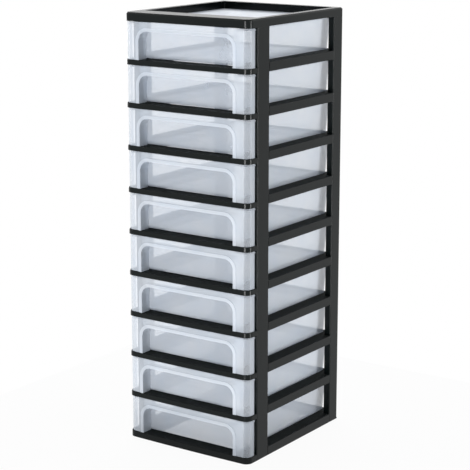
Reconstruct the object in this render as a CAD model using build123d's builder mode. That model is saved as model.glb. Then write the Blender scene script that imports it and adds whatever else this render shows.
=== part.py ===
from build123d import *
from math import radians, tan
import os

# Tower of clear drawers in a black moulded frame. Millimetres, +Z up, drawers open towards -Y.
# The origin lies on the floor at the centre of the footprint.

# Whole tower
tower_width = 300.0
tower_depth = 340.0
drawer_count = 10
front_bow = 2.0
corner_radius = 14.0

# Fits between pieces
seat_fit = 0.1
running_gap = 0.3
fascia_clearance = 1.0

# How far a block runs past the faces it meets or cuts
overrun = 1.0

# Base and shelf frames
base_rail_height = 13.0
base_beam_height = 18.0
shelf_rail_height = 10.0
shelf_beam_height = 17.5
front_rail_depth = 34.0
beam_width = 29.0
ledge_width = 16.0
rear_lip_depth = 6.2
rear_ledge_width = 10.0
frame_wall = 2.5
edge_break = 0.8
rail_pocket_count = 3
beam_pocket_count = 2

# Posts, open channels with cross webs
post_thickness = 14.0
post_setback = 32.5
front_post_depth = 39.5
rear_post_depth = 31.5
rim_overhang = 1.5
post_wall = 2.5
post_edge_radius = 2.0
web_setback = 0.5
foot_plate = 2.5

# Top rim and the panel let into it
rim_height = 17.0
rim_front_band = 50.0
rim_side_band = 15.6
rim_rear_band = 16.0
rim_lug_length = 12.0
rim_rear_radius = 4.0
rim_edge_break = 3.0
panel_skirt = 1.5
panel_lip_width = 6.0
panel_lip_thickness = 1.2
panel_lip_drop = 1.4
panel_thickness = 1.6
panel_corner_radius = 3.0

# Drawer box
drawer_wall = 2.0
box_bottom_clearance = 2.0
box_draft_angle = 4.0
box_corner_cut = 2.5
floor_chamfer = 3.0
box_side_gap = 2.0
box_rear_gap = 1.0
flange_width = 9.0
flange_thickness = 2.0
runner_width = 5.0
runner_length_margin = 8.0

# Drawer front
fascia_height = 75.0
fascia_step = 2.0
fascia_wall = 2.2
fascia_inset = 1.4
fascia_side_inset = 2.0
fascia_return = 24.0
inner_corner_cut = 8.0
leg_width = 35.0
top_band_height = 18.0
recess_depth = 27.0
arch_radius = 20.0
lip_width = 7.0
lip_height = 1.1

# Levels and planes that follow from the sizes above
bay_height = fascia_height + fascia_clearance
level_pitch = bay_height + shelf_rail_height
rim_bottom = base_rail_height + drawer_count * level_pitch - shelf_rail_height
side_plane = tower_width / 2
front_plane = -tower_depth / 2
back_plane = tower_depth / 2
bow_radius = (side_plane**2 + front_bow**2) / (2 * front_bow)
post_inner = side_plane - post_thickness
guide_plane = side_plane - beam_width
ledge_inner = guide_plane - ledge_width
front_post_front = front_plane + post_setback
front_post_back = front_post_front + front_post_depth
rear_post_back = back_plane - rim_overhang
rear_post_front = rear_post_back - rear_post_depth
rail_back = front_plane + front_rail_depth
lip_front = rear_post_back - rear_lip_depth
shelf_levels = [base_rail_height + bay_height + level_pitch * k for k in range(drawer_count - 1)]

post_rows = [
    (front_post_front, front_post_back),
    (rear_post_front, rear_post_back),
]


def bowed_outline(half_width, front, back, front_radius=0.0, back_radius=0.0):
    """Plan outline with a gently bowed front edge and rounded corners; all bows share a centre."""
    radius = bow_radius - (front - front_plane)
    corner = front + radius - (radius**2 - half_width**2) ** 0.5
    with BuildSketch() as outline:
        with BuildLine():
            front_edge = ThreePointArc((-half_width, corner), (0, front), (half_width, corner))
            Polyline(front_edge @ 1, (half_width, back), (-half_width, back), front_edge @ 0)
        make_face()
        if front_radius > 0:
            fillet(outline.vertices().sort_by(Axis.Y)[:2], front_radius)
        if back_radius > 0:
            fillet(outline.vertices().group_by(Axis.Y)[-1], back_radius)
    return outline.sketch


def both_sides(inner, outer, front, back):
    """Plan of two mirrored rectangles, given from the middle of the tower outwards."""
    with BuildSketch() as pair:
        with Locations(((inner + outer) / 2, (front + back) / 2)):
            Rectangle(outer - inner, back - front)
        mirror(about=Plane.YZ)
    return pair.sketch


def post_gaps():
    """Plan of the four corner cut-outs that take the posts."""
    with BuildSketch() as gaps:
        for front, back in post_rows:
            add(both_sides(post_inner - seat_fit, side_plane + overrun, front - seat_fit, back + seat_fit))
        add(both_sides(post_inner - seat_fit, side_plane + overrun, rear_post_front, back_plane))
    return gaps.sketch


def post_lugs():
    """Plan of the four lugs that reach into the channels of the posts."""
    with BuildSketch() as lugs:
        for front, back in post_rows:
            reach = side_plane - post_wall - seat_fit
            margin = post_wall + seat_fit
            add(both_sides(guide_plane, reach, front + margin, back - margin))
    return lugs.sketch


def rail_pockets():
    """Plan of the moulding hollows under a front rail."""
    span = 2 * (post_inner - frame_wall)
    cell = span / rail_pocket_count
    front = front_plane + front_bow + frame_wall
    back = rail_back - frame_wall
    with BuildSketch() as pockets:
        with Locations((0, (front + back) / 2)):
            with GridLocations(cell, 1, rail_pocket_count, 1):
                Rectangle(cell - frame_wall, back - front)
    return pockets.sketch


def beam_pockets():
    """Plan of the moulding hollows under the side beams, between the posts."""
    front = front_post_back + seat_fit + frame_wall / 2
    back = rear_post_front - seat_fit - frame_wall / 2
    cell = (back - front) / beam_pocket_count
    inner = guide_plane + frame_wall
    outer = side_plane - frame_wall
    with BuildSketch() as pockets:
        with Locations(((inner + outer) / 2, (front + back) / 2)):
            with GridLocations(1, cell, 1, beam_pocket_count):
                Rectangle(outer - inner, cell - frame_wall)
        mirror(about=Plane.YZ)
    return pockets.sketch


def tier_ring():
    """Plan of the flat ring that carries a drawer, open in the middle."""
    aperture_back = lip_front - rear_ledge_width
    with BuildSketch() as ring:
        add(bowed_outline(side_plane, front_plane, rear_post_back, corner_radius))
        with Locations((0, (rail_back + aperture_back) / 2)):
            Rectangle(2 * ledge_inner, aperture_back - rail_back, mode=Mode.SUBTRACT)
    return ring.sketch


def guide_walls():
    """Plan of the raised side beams and of the stop across the back."""
    with BuildSketch() as walls:
        add(both_sides(guide_plane, side_plane, front_post_front + seat_fit, rear_post_back))
        with Locations((0, (lip_front + rear_post_back) / 2)):
            Rectangle(2 * (guide_plane + overrun), rear_lip_depth)
    return walls.sketch


def front_rail_edges(ring):
    """Upper edges of the curved front rail of a ring."""
    curved = ring.edges().filter_by(GeomType.CIRCLE)
    return curved.group_by(Axis.Z)[-1]


ring_plan = tier_ring()
wall_plan = guide_walls()
gap_plan = post_gaps()
lug_plan = post_lugs()
rail_pocket_plan = rail_pockets()
beam_pocket_plan = beam_pockets()

# Base frame, standing on the floor
with BuildPart() as base_frame:
    with BuildSketch():
        add(ring_plan)
    extrude(amount=base_rail_height)
    chamfer(front_rail_edges(base_frame), edge_break)
    with BuildSketch():
        add(wall_plan)
    extrude(amount=base_beam_height)
    with BuildSketch(Plane.XY.offset(foot_plate)):
        add(gap_plan)
    extrude(amount=base_beam_height, mode=Mode.SUBTRACT)
    with BuildSketch():
        add(lug_plan)
    extrude(amount=base_beam_height)
    with BuildSketch():
        add(rail_pocket_plan)
    extrude(amount=base_rail_height - frame_wall, mode=Mode.SUBTRACT)
    with BuildSketch():
        add(beam_pocket_plan)
    extrude(amount=base_beam_height - frame_wall, mode=Mode.SUBTRACT)
base_frame.part.label = "base_frame"

# One shelf frame; the nine of them are alike
with BuildPart() as shelf_frame:
    with BuildSketch():
        add(ring_plan)
    extrude(amount=shelf_rail_height)
    chamfer(front_rail_edges(shelf_frame), edge_break)
    with BuildSketch():
        add(wall_plan)
    extrude(amount=shelf_beam_height)
    with BuildSketch():
        add(gap_plan)
    extrude(amount=shelf_beam_height, mode=Mode.SUBTRACT)
    with BuildSketch():
        add(lug_plan)
    extrude(amount=shelf_beam_height)
    with BuildSketch():
        add(rail_pocket_plan)
    extrude(amount=shelf_rail_height - frame_wall, mode=Mode.SUBTRACT)
    with BuildSketch():
        add(beam_pocket_plan)
    extrude(amount=shelf_beam_height - frame_wall, mode=Mode.SUBTRACT)

# Front and rear posts of the right-hand side, as channels open towards the drawers
web_levels = [level - post_wall for level in shelf_levels]
web_levels += [rim_bottom - rim_lug_length - 2 * post_wall]


def post_channel(front, back):
    """Plan of one post: outer wall and two flanges, rounded outside."""
    middle = (front + back) / 2
    with BuildSketch() as channel:
        with Locations(((post_inner + side_plane) / 2, middle)):
            Rectangle(post_thickness, back - front)
        fillet(channel.vertices().group_by(Axis.X)[-1], post_edge_radius)
        with Locations(((post_inner + side_plane) / 2 - post_wall, middle)):
            Rectangle(post_thickness, back - front - 2 * post_wall, mode=Mode.SUBTRACT)
    return channel.sketch


def post_web(front, back):
    """Plan of one cross web inside a post."""
    with BuildSketch() as web:
        with Locations(((post_inner + side_plane) / 2, (front + back) / 2)):
            Rectangle(post_thickness - 2 * web_setback, back - front - post_wall)
    return web.sketch


with BuildPart() as front_post:
    with BuildSketch(Plane.XY.offset(foot_plate + seat_fit)):
        add(post_channel(front_post_front, front_post_back))
    extrude(amount=rim_bottom - foot_plate - 2 * seat_fit)
    for level in web_levels:
        with BuildSketch(Plane.XY.offset(level)):
            add(post_web(front_post_front, front_post_back))
        extrude(amount=post_wall - seat_fit)

with BuildPart() as rear_post:
    with BuildSketch(Plane.XY.offset(foot_plate + seat_fit)):
        add(post_channel(rear_post_front, rear_post_back))
    extrude(amount=rim_bottom - foot_plate - 2 * seat_fit)
    for level in web_levels:
        with BuildSketch(Plane.XY.offset(level)):
            add(post_web(rear_post_front, rear_post_back))
        extrude(amount=post_wall - seat_fit)

# Top rim: a broad front band, narrow sides and a lip that carries the panel
recess_half_width = side_plane - rim_side_band
recess_front = front_plane + rim_front_band
recess_back = back_plane - rim_rear_band
recess_middle = (recess_front + recess_back) / 2
recess_length = recess_back - recess_front
lip_bottom = rim_bottom - panel_lip_drop
panel_bottom = lip_bottom + panel_lip_thickness + seat_fit

with BuildPart() as top_frame:
    with BuildSketch(Plane.XY.offset(rim_bottom)):
        add(bowed_outline(side_plane, front_plane, back_plane, corner_radius, rim_rear_radius))
    extrude(amount=rim_height)
    chamfer(top_frame.edges().group_by(Axis.Z)[-1], rim_edge_break)
    with BuildSketch(Plane.XY.offset(lip_bottom)):
        with Locations((0, recess_middle)):
            Rectangle(2 * (post_inner - seat_fit), recess_length + 2 * panel_skirt)
    extrude(amount=panel_lip_drop + frame_wall)
    with BuildSketch(Plane.XY.offset(lip_bottom)):
        with Locations((0, recess_middle)):
            Rectangle(2 * (recess_half_width - panel_lip_width), recess_length - 2 * panel_lip_width)
    extrude(amount=rim_height, mode=Mode.SUBTRACT)
    with BuildSketch(Plane.XY.offset(lip_bottom + panel_lip_thickness)):
        with Locations((0, recess_middle)):
            RectangleRounded(2 * recess_half_width, recess_length, panel_corner_radius)
    extrude(amount=rim_height + panel_lip_drop, mode=Mode.SUBTRACT)
    with BuildSketch(Plane.XY.offset(rim_bottom)):
        with Locations((0, rim_front_band - front_rail_depth)):
            add(rail_pocket_plan)
        add(rail_pocket_plan)
    extrude(amount=rim_height - frame_wall, mode=Mode.SUBTRACT)
    with BuildSketch(Plane.XY.offset(rim_bottom - rim_lug_length)):
        add(lug_plan)
        with Locations((0, 0)):
            Rectangle(2 * (post_inner + seat_fit), tower_depth, mode=Mode.SUBTRACT)
    extrude(amount=rim_lug_length + frame_wall)
top_frame.part.label = "top_frame"

with BuildPart() as top_panel:
    with BuildSketch(Plane.XY.offset(panel_bottom)):
        with Locations((0, recess_middle)):
            RectangleRounded(
                2 * (recess_half_width - seat_fit), recess_length - 2 * seat_fit, panel_corner_radius
            )
    extrude(amount=panel_thickness)
top_panel.part.label = "top_panel"

# One drawer, drawn with its ledge at height zero
box_top_height = fascia_height - fascia_step
box_front = front_plane + recess_depth
box_back = lip_front - box_rear_gap
floor_half_width = guide_plane - box_side_gap
box_rise = box_top_height - box_bottom_clearance
rim_half_width = floor_half_width + box_rise * tan(radians(box_draft_angle))
fascia_half_width = side_plane - fascia_side_inset
fascia_front = front_plane + fascia_inset
arch_half_width = fascia_half_width - leg_width
arch_height = fascia_height - top_band_height
bay_half_width = arch_half_width + drawer_wall
bay_front = fascia_front + front_bow


def box_plan(half_width, front, back, corner):
    """Rectangle between two Y planes, with its corners cut at the back."""
    with BuildSketch() as plan:
        with Locations((0, (front + back) / 2)):
            Rectangle(2 * half_width, back - front)
        chamfer(plan.vertices().group_by(Axis.Y)[-1], corner)
    return plan.sketch


def fascia_hollow():
    """Plan of the space inside the front plate and its side returns."""
    half_width = fascia_half_width - fascia_wall
    with BuildSketch() as hollow:
        add(bowed_outline(half_width, fascia_front + fascia_wall, box_front + overrun))
        chamfer(hollow.vertices().sort_by(Axis.Y)[:2], inner_corner_cut)
    return hollow.sketch


def arch_profile(grow=0.0):
    """Upright outline of the finger recess, enlarged by grow, on the XZ plane."""
    half_width = arch_half_width + grow
    with BuildSketch() as arch:
        with Locations((0, (arch_height + grow) / 2)):
            Rectangle(2 * half_width, arch_height + grow)
        fillet(arch.vertices().group_by(Axis.Y)[-1], arch_radius + grow)
    return arch.sketch


box_front_plane = Plane.XZ.offset(-box_front)

# Inside of the box, drafted like its walls
with BuildPart() as box_inside:
    with BuildSketch(Plane.XY.offset(box_bottom_clearance + drawer_wall)):
        add(box_plan(
            floor_half_width - drawer_wall, front_plane, box_back - drawer_wall,
            box_corner_cut - drawer_wall
        ))
    extrude(amount=box_rise, taper=-box_draft_angle)
    split(bisect_by=Plane.XZ.offset(-box_front - drawer_wall), keep=Keep.BOTTOM)

# Raised border that runs round the recess on the bowed front
with BuildPart() as arch_border:
    with BuildSketch(Plane.XY.offset(running_gap)):
        add(bowed_outline(bay_half_width + lip_width, fascia_front - lip_height, box_front))
        add(fascia_hollow(), mode=Mode.SUBTRACT)
    extrude(amount=fascia_height)
    with BuildSketch(Plane.XZ.offset(-back_plane)):
        add(arch_profile(lip_width))
    extrude(amount=2 * tower_depth, mode=Mode.INTERSECT)

with BuildPart() as drawer:
    # Box with drafted sides and back, an eased floor edge and an upright front
    with BuildSketch(Plane.XY.offset(box_bottom_clearance)):
        add(box_plan(floor_half_width, front_plane, box_back, box_corner_cut))
    extrude(amount=box_rise, taper=-box_draft_angle)
    chamfer(drawer.edges().group_by(Axis.Z)[0], floor_chamfer)
    split(bisect_by=box_front_plane, keep=Keep.BOTTOM)

    # Flange round the top of the box, running into the front
    with BuildSketch(Plane.XY.offset(box_top_height - flange_thickness)):
        add(box_plan(rim_half_width + flange_width, box_front, box_back, box_corner_cut))
        add(bowed_outline(fascia_half_width, fascia_front, box_front + overrun, corner_radius))
    extrude(amount=flange_thickness)

    # Front plate with its side returns, open behind the legs
    with BuildSketch(Plane.XY.offset(running_gap)):
        add(bowed_outline(fascia_half_width, fascia_front, fascia_front + fascia_return, corner_radius))
        add(fascia_hollow(), mode=Mode.SUBTRACT)
    extrude(amount=fascia_height - running_gap)

    # Bay between the legs, from the front plate to the box
    with BuildSketch(Plane.XY.offset(running_gap)):
        with Locations((0, (bay_front + box_front) / 2)):
            Rectangle(2 * bay_half_width, box_front - bay_front)
    extrude(amount=box_top_height - running_gap)
    add(arch_border.part)

    # Runners that slide on the ledges
    runner_middle = (box_front + box_back) / 2
    with BuildSketch(Plane.XY.offset(running_gap)):
        with Locations((ledge_inner + runner_width, runner_middle)):
            Rectangle(runner_width, box_back - box_front - 2 * runner_length_margin)
        mirror(about=Plane.YZ)
    extrude(amount=box_bottom_clearance)

    # Inside of the box, and the space above the recess that opens into it
    add(box_inside.part, mode=Mode.SUBTRACT)
    with BuildSketch(Plane.XY.offset(arch_height + drawer_wall)):
        pocket_back = box_front + drawer_wall + overrun
        add(bowed_outline(arch_half_width, fascia_front + fascia_wall, pocket_back))
    extrude(amount=top_band_height, mode=Mode.SUBTRACT)

    # Arched finger recess, open at the front and below
    with BuildSketch(box_front_plane):
        add(arch_profile())
    extrude(amount=recess_depth + overrun, mode=Mode.SUBTRACT)

os.makedirs("parts", exist_ok=True)

export_step(base_frame.part, "parts/base_frame.step")
export_step(top_frame.part, "parts/top_frame.step")
export_step(top_panel.part, "parts/top_panel.step")

for number in range(1, drawer_count):
    shelf = shelf_frame.part.moved(Location((0, 0, shelf_levels[-number])))
    shelf.label = f"shelf_frame_{number:02d}"
    export_step(shelf, f"parts/{shelf.label}.step")

for side, plane in (("right", None), ("left", Plane.YZ)):
    for row, post in (("front", front_post.part), ("rear", rear_post.part)):
        piece = mirror(post, about=plane) if plane else post
        piece.label = f"{row}_{side}_post"
        export_step(piece, f"parts/{piece.label}.step")

for number in range(1, drawer_count + 1):
    floor_level = base_rail_height + (drawer_count - number) * level_pitch
    box = drawer.part.moved(Location((0, 0, floor_level)))
    box.label = f"drawer_{number:02d}"
    export_step(box, f"parts/{box.label}.step")
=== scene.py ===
import math

import bpy
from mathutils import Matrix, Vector


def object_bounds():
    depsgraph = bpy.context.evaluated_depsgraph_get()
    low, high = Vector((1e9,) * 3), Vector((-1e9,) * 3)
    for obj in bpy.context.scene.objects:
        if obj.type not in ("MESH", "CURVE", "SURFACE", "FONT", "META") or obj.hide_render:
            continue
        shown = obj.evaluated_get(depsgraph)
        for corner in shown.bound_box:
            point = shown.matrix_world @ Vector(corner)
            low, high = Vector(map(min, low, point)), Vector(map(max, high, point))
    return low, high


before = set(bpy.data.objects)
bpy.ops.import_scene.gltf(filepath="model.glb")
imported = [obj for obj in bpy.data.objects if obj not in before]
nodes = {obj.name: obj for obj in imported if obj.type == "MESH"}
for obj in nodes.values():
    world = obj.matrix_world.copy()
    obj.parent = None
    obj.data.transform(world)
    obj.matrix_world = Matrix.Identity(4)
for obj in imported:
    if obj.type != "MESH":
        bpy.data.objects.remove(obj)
tower_low, tower_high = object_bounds()
middle = (tower_low + tower_high) / 2

# Camera, fitted to the edges of the photographed tower; the photograph is 470 px square
PHOTO_SIZE = 470
FOCAL_PX = 1570
SENSOR_WIDTH = 36.0
CAMERA_PLACE = (1.808, -2.585, 1.153)
CAMERA_YAW = math.radians(34.96)
CAMERA_TILT = math.radians(-12.77)
CAMERA_SHIFT_Y = -0.021

# Most values of a noise texture lie in this range
NOISE_RANGE = (0.3, 0.7)

# Drawers and panel: clear plastic, slightly milky and a little blue
CLEAR_DEEP = (0.75, 0.84, 0.96)
CLEAR_LIGHT = (0.90, 0.93, 0.97)
CLEAR_CLOUD_SCALE = 22
CLEAR_CLOUD_DETAIL = 3
CLEAR_ROUGHNESS = (0.42, 0.52)
RIPPLE_SCALE = 60
RIPPLE_DETAIL = 1
RIPPLE_STRENGTH = 0.03
RIPPLE_DEPTH = 0.0003

# How much the clear plastic hides: from facing to edge-on, on the front plates, on the raised borders
FACING_BLEND = 0.3
WALL_ALPHA = (0.20, 0.80)
FRONT_ALPHA = 0.42
BORDER_ALPHA = 0.62

# Bow of the drawer fronts, and the border of the finger recess that stands out from it; the front plate
# and the border are told apart by the height over the bow, in shares of the border's height
BOW_RADIUS = 5.626
FRONT_INSET = 0.0014
BORDER_HEIGHT = 0.0011
FRONT_SHARES = (-0.5, -0.2)
BORDER_SHARES = (0.2, 0.8)

# Frame: black plastic with a fine moulded grain, glossy on its walls and duller on its ledges
BLACK_DEEP = (0.0030, 0.0050, 0.0050)
BLACK_LIGHT = (0.0060, 0.0085, 0.0085)
BLACK_CLOUD_SCALE = 14
BLACK_CLOUD_DETAIL = 4
BLACK_ROUGHNESS = (0.14, 0.20)
BLACK_SPECULAR_LEVEL = 0.15
RIM_TOP_ROUGHNESS = 0.4
LEDGE_ROUGHNESS = 0.85
UPWARD_NORMAL_Z = (0.8, 0.95)
GRAIN_SCALE = 1400
GRAIN_DETAIL = 2
GRAIN_STRENGTH = 0.15
GRAIN_DEPTH = 0.0001
EDGE_RADIUS = 0.0008
EDGE_SAMPLES = 4

# Floor: small, so that the low lamps reach the lowest drawers past its edge
FLOOR_REACH = 0.55
FLOOR_GAP = 0.0005
FLOOR_DEEP = (0.80, 0.80, 0.80)
FLOOR_LIGHT = (0.86, 0.86, 0.86)
FLOOR_ROUGHNESS = 0.7
FLOOR_SPECKLE_SCALE = 60
FLOOR_SPECKLE_DETAIL = 2
FLOOR_WHITE_SHARE = 0.95

# Light from all around
SKY_COLOUR = (0.97, 0.98, 1.0)
SKY_STRENGTH = 0.5


def new_material(name):
    """A new material; returns it with its node tree and its Principled shader."""
    material = bpy.data.materials.new(name)
    material.use_nodes = True
    tree = material.node_tree
    return material, tree, tree.nodes["Principled BSDF"]


def noise(tree, scale, detail):
    """A noise texture in the object's own metres, so that it slides with a drawer."""
    place = tree.nodes.new("ShaderNodeTexCoord")
    texture = tree.nodes.new("ShaderNodeTexNoise")
    texture.inputs["Scale"].default_value = scale
    texture.inputs["Detail"].default_value = detail
    tree.links.new(place.outputs["Object"], texture.inputs["Vector"])
    return texture.outputs["Fac"]


def spread(tree, source, source_range, target_range):
    """Maps a value from one range onto another."""
    mapping = tree.nodes.new("ShaderNodeMapRange")
    mapping.inputs["From Min"].default_value = source_range[0]
    mapping.inputs["From Max"].default_value = source_range[1]
    mapping.inputs["To Min"].default_value = target_range[0]
    mapping.inputs["To Max"].default_value = target_range[1]
    tree.links.new(source, mapping.inputs["Value"])
    return mapping.outputs["Result"]


def two_colours(tree, share, first, second):
    """Goes from the first colour to the second as the share goes from 0 to 1."""
    blend = tree.nodes.new("ShaderNodeMix")
    blend.data_type = "RGBA"
    blend.inputs["A"].default_value = (*first, 1)
    blend.inputs["B"].default_value = (*second, 1)
    tree.links.new(share, blend.inputs["Factor"])
    return blend.outputs["Result"]


def two_values(tree, share, first, second):
    """Goes from a linked value to a fixed one as the share goes from 0 to 1."""
    blend = tree.nodes.new("ShaderNodeMix")
    blend.inputs["B"].default_value = second
    tree.links.new(share, blend.inputs["Factor"])
    tree.links.new(first, blend.inputs["A"])
    return blend.outputs["Result"]


def two_shaders(tree, share, first, second):
    """Goes from the first shader to the second as the share goes from 0 to 1."""
    blend = tree.nodes.new("ShaderNodeMixShader")
    tree.links.new(share, blend.inputs["Fac"])
    tree.links.new(first, blend.inputs[1])
    tree.links.new(second, blend.inputs[2])
    return blend.outputs["Shader"]


def bump(tree, height, strength, distance):
    """A bump node fed by a height."""
    relief = tree.nodes.new("ShaderNodeBump")
    relief.inputs["Strength"].default_value = strength
    relief.inputs["Distance"].default_value = distance
    tree.links.new(height, relief.inputs["Height"])
    return relief


def upward(tree):
    """1 on faces that look up, 0 on upright ones."""
    surface = tree.nodes.new("ShaderNodeNewGeometry")
    parts = tree.nodes.new("ShaderNodeSeparateXYZ")
    tree.links.new(surface.outputs["True Normal"], parts.inputs["Vector"])
    return spread(tree, parts.outputs["Z"], UPWARD_NORMAL_Z, (0, 1))


def over_bow(tree, shares):
    """0 to 1 between two heights over the bowed fronts, given in shares of the border's height."""
    place = tree.nodes.new("ShaderNodeTexCoord")
    plan = tree.nodes.new("ShaderNodeVectorMath")
    plan.operation = "MULTIPLY"
    plan.inputs[1].default_value = (1, 1, 0)
    tree.links.new(place.outputs["Object"], plan.inputs[0])
    from_centre = tree.nodes.new("ShaderNodeVectorMath")
    from_centre.operation = "DISTANCE"
    from_centre.inputs[1].default_value = (0, tower_low.y + BOW_RADIUS, 0)
    tree.links.new(plan.outputs["Vector"], from_centre.inputs[0])
    front = BOW_RADIUS - FRONT_INSET
    heights = [front + share * BORDER_HEIGHT for share in shares]
    return spread(tree, from_centre.outputs["Value"], heights, (0, 1))


def black_plastic(name, ledge_roughness):
    """Black moulding: glossy walls, ledges of their own roughness, faint flow clouds, softened edges."""
    material, tree, shader = new_material(name)
    clouds = noise(tree, BLACK_CLOUD_SCALE, BLACK_CLOUD_DETAIL)
    colour = two_colours(tree, clouds, BLACK_DEEP, BLACK_LIGHT)
    walls = spread(tree, clouds, NOISE_RANGE, BLACK_ROUGHNESS)
    roughness = two_values(tree, upward(tree), walls, ledge_roughness)
    tree.links.new(colour, shader.inputs["Base Color"])
    tree.links.new(roughness, shader.inputs["Roughness"])
    shader.inputs["Specular IOR Level"].default_value = BLACK_SPECULAR_LEVEL
    grain = noise(tree, GRAIN_SCALE, GRAIN_DETAIL)
    relief = bump(tree, grain, GRAIN_STRENGTH, GRAIN_DEPTH)
    soft_edge = tree.nodes.new("ShaderNodeBevel")
    soft_edge.samples = EDGE_SAMPLES
    soft_edge.inputs["Radius"].default_value = EDGE_RADIUS
    tree.links.new(soft_edge.outputs["Normal"], relief.inputs["Normal"])
    tree.links.new(relief.outputs["Normal"], shader.inputs["Normal"])
    return material


def clear_plastic():
    """Thin milky moulding: see-through where it faces the eye, denser on the fronts and their borders."""
    material, tree, shader = new_material("clear_plastic_moulded")
    clouds = noise(tree, CLEAR_CLOUD_SCALE, CLEAR_CLOUD_DETAIL)
    colour = two_colours(tree, clouds, CLEAR_DEEP, CLEAR_LIGHT)
    roughness = spread(tree, clouds, NOISE_RANGE, CLEAR_ROUGHNESS)
    tree.links.new(colour, shader.inputs["Base Color"])
    tree.links.new(roughness, shader.inputs["Roughness"])
    facing = tree.nodes.new("ShaderNodeLayerWeight")
    facing.inputs["Blend"].default_value = FACING_BLEND
    walls = spread(tree, facing.outputs["Facing"], (0, 1), WALL_ALPHA)
    with_front = two_values(tree, over_bow(tree, FRONT_SHARES), walls, FRONT_ALPHA)
    with_border = two_values(tree, over_bow(tree, BORDER_SHARES), with_front, BORDER_ALPHA)
    tree.links.new(with_border, shader.inputs["Alpha"])
    ripple = noise(tree, RIPPLE_SCALE, RIPPLE_DETAIL)
    relief = bump(tree, ripple, RIPPLE_STRENGTH, RIPPLE_DEPTH)
    tree.links.new(relief.outputs["Normal"], shader.inputs["Normal"])
    return material


def seen_rays(tree, share):
    """The given share for rays that see the background, straight or by a reflection, and 0 for light."""
    ray = tree.nodes.new("ShaderNodeLightPath")
    total = ray.outputs["Is Camera Ray"]
    for kind in ("Is Glossy Ray", "Is Transmission Ray"):
        either = tree.nodes.new("ShaderNodeMath")
        either.operation = "MAXIMUM"
        tree.links.new(total, either.inputs[0])
        tree.links.new(ray.outputs[kind], either.inputs[1])
        total = either.outputs["Value"]
    return spread(tree, total, (0, 1), (0, share))


def white_floor():
    """A pale floor that is seen as the photograph's plain white and keeps a faint shadow."""
    material, tree, shader = new_material("pale_floor")
    shader.inputs["Roughness"].default_value = FLOOR_ROUGHNESS
    speckle = noise(tree, FLOOR_SPECKLE_SCALE, FLOOR_SPECKLE_DETAIL)
    colour = two_colours(tree, speckle, FLOOR_DEEP, FLOOR_LIGHT)
    tree.links.new(colour, shader.inputs["Base Color"])
    white = tree.nodes.new("ShaderNodeEmission")
    share = seen_rays(tree, FLOOR_WHITE_SHARE)
    surface = two_shaders(tree, share, shader.outputs["BSDF"], white.outputs["Emission"])
    tree.links.new(surface, tree.nodes["Material Output"].inputs["Surface"])
    return material


def dress(names, material):
    """Gives the named CAD nodes a material."""
    for name in names:
        for slot in nodes[name].material_slots:
            slot.material = material


def add_camera():
    """The photograph's camera."""
    data = bpy.data.cameras.new("camera")
    data.sensor_width = SENSOR_WIDTH
    data.lens = FOCAL_PX / PHOTO_SIZE * SENSOR_WIDTH
    data.shift_y = CAMERA_SHIFT_Y
    camera = bpy.data.objects.new("camera", data)
    camera.location = CAMERA_PLACE
    camera.rotation_euler = (math.pi / 2 + CAMERA_TILT, 0, CAMERA_YAW)
    bpy.context.scene.collection.objects.link(camera)
    bpy.context.scene.camera = camera


def add_floor():
    """A square floor just below the tower."""
    mesh = bpy.data.meshes.new("floor")
    signs = ((-1, -1), (1, -1), (1, 1), (-1, 1))
    corners = [(x * FLOOR_REACH, y * FLOOR_REACH, 0) for x, y in signs]
    mesh.from_pydata(corners, [], [(0, 1, 2, 3)])
    mesh.materials.append(white_floor())
    floor = bpy.data.objects.new("floor", mesh)
    floor.location.z = tower_low.z - FLOOR_GAP
    bpy.context.scene.collection.objects.link(floor)


def add_sky():
    """Surroundings that are plain white to the eye and dimmer as a lamp."""
    world = bpy.data.worlds.new("studio")
    bpy.context.scene.world = world
    world.use_nodes = True
    tree = world.node_tree
    sky = tree.nodes["Background"]
    sky.inputs["Color"].default_value = (*SKY_COLOUR, 1)
    sky.inputs["Strength"].default_value = SKY_STRENGTH
    white = tree.nodes.new("ShaderNodeBackground")
    white.inputs["Color"].default_value = (1, 1, 1, 1)
    surround = two_shaders(tree, seen_rays(tree, 1), sky.outputs["Background"], white.outputs["Background"])
    tree.links.new(surround, tree.nodes["World Output"].inputs["Surface"])


def add_lamp(name, place, width, height, power):
    """A soft rectangular lamp that points at the middle of the tower."""
    lamp = bpy.data.lights.new(name, "AREA")
    lamp.shape = "RECTANGLE"
    lamp.size = width
    lamp.size_y = height
    lamp.energy = power
    holder = bpy.data.objects.new(name, lamp)
    holder.location = place
    holder.rotation_euler = (middle - Vector(place)).to_track_quat("-Z", "Y").to_euler()
    bpy.context.scene.collection.objects.link(holder)


add_camera()

clear_names = [name for name in nodes if name.startswith("drawer_") or name == "top_panel"]
ledged_names = [name for name in nodes if name not in clear_names and name != "top_frame"]
dress(["top_frame"], black_plastic("black_plastic_rim", RIM_TOP_ROUGHNESS))
dress(ledged_names, black_plastic("black_plastic_ledged", LEDGE_ROUGHNESS))
dress(clear_names, clear_plastic())

add_floor()
add_sky()

# The two front lamps stand low, so that the rails' rounded corners mirror them to the camera
add_lamp("right_lamp", place=(5.9, 0.95, -0.5), width=1.3, height=2.0, power=150)
add_lamp("front_lamp", place=(0.75, -5.95, -0.5), width=1.9, height=2.0, power=240)
add_lamp("left_lamp", place=(-5.0, 3.0, 0.9), width=2.0, height=2.0, power=90)
add_lamp("back_lamp", place=(-1.2, 2.0, 2.2), width=2.2, height=1.6, power=30)

bpy.context.scene.view_settings.view_transform = "Standard"
